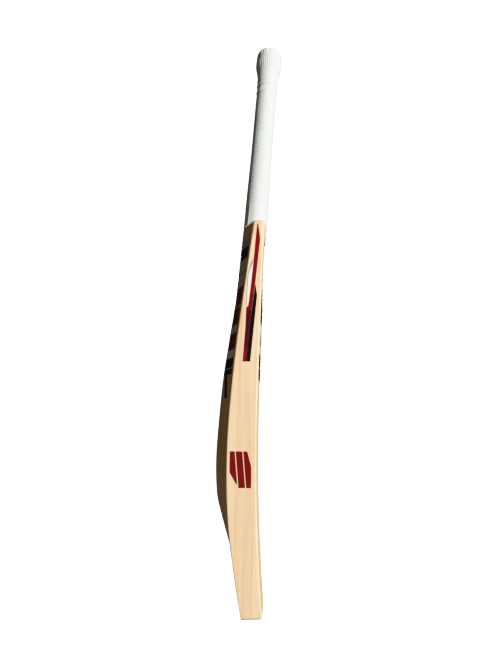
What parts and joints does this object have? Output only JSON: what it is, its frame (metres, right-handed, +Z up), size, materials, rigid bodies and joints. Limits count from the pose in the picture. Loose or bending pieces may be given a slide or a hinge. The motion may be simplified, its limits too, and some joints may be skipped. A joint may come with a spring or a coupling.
{
  "type": "cricket bat",
  "caption": "Cricket bat: a willow blade with a bowed flat face and a raised spine, joined by a V splice to a laminated cane handle with a ribbed rubber grip.",
  "frame": {"origin": "the middle of the hand grip, on the centre line of the handle, where the bat is held", "axes": "+Z runs up along the blade from toe to handle, +X across the width of the blade, -Y out of the hitting face and +Y out of the spine"},
  "size_m": [0.1094, 0.092, 0.8494],
  "materials": {
    "willow": "lightly polished, fine straight grain",
    "cane": "raw sanded",
    "insert_rubber": "matt",
    "twine": "waxed twine, tightly wound",
    "grip_rubber": "matt moulded ribs",
    "red_foil": "satin printed film",
    "black_foil": "satin printed film",
    "white_foil": "satin printed film"
  },
  "bodies": {
    "root": {"willow_blade": "willow", "cane_stick_front_left": "cane", "cane_stick_front_centre": "cane", "cane_stick_front_right": "cane", "cane_stick_front_middle_left": "cane", "cane_stick_front_middle_centre": "cane", "cane_stick_front_middle_right": "cane", "cane_stick_back_middle_left": "cane", "cane_stick_back_middle_centre": "cane", "cane_stick_back_middle_right": "cane", "cane_stick_back_left": "cane", "cane_stick_back_centre": "cane", "cane_stick_back_right": "cane", "rubber_insert_front": "insert_rubber", "rubber_insert_middle": "insert_rubber", "rubber_insert_back": "insert_rubber", "twine_binding": "twine", "rubber_grip": "grip_rubber", "left_edge_red_flash": "red_foil", "left_edge_black_flash": "black_foil", "left_edge_white_flash": "white_foil", "left_edge_badge": "red_foil", "right_edge_red_flash": "red_foil", "right_edge_black_flash": "black_foil", "right_edge_white_flash": "white_foil", "right_edge_badge": "red_foil", "back_decal_upper": "white_foil", "back_decal_lower": "red_foil", "face_decal": "black_foil"}
  },
  "joints": []
}
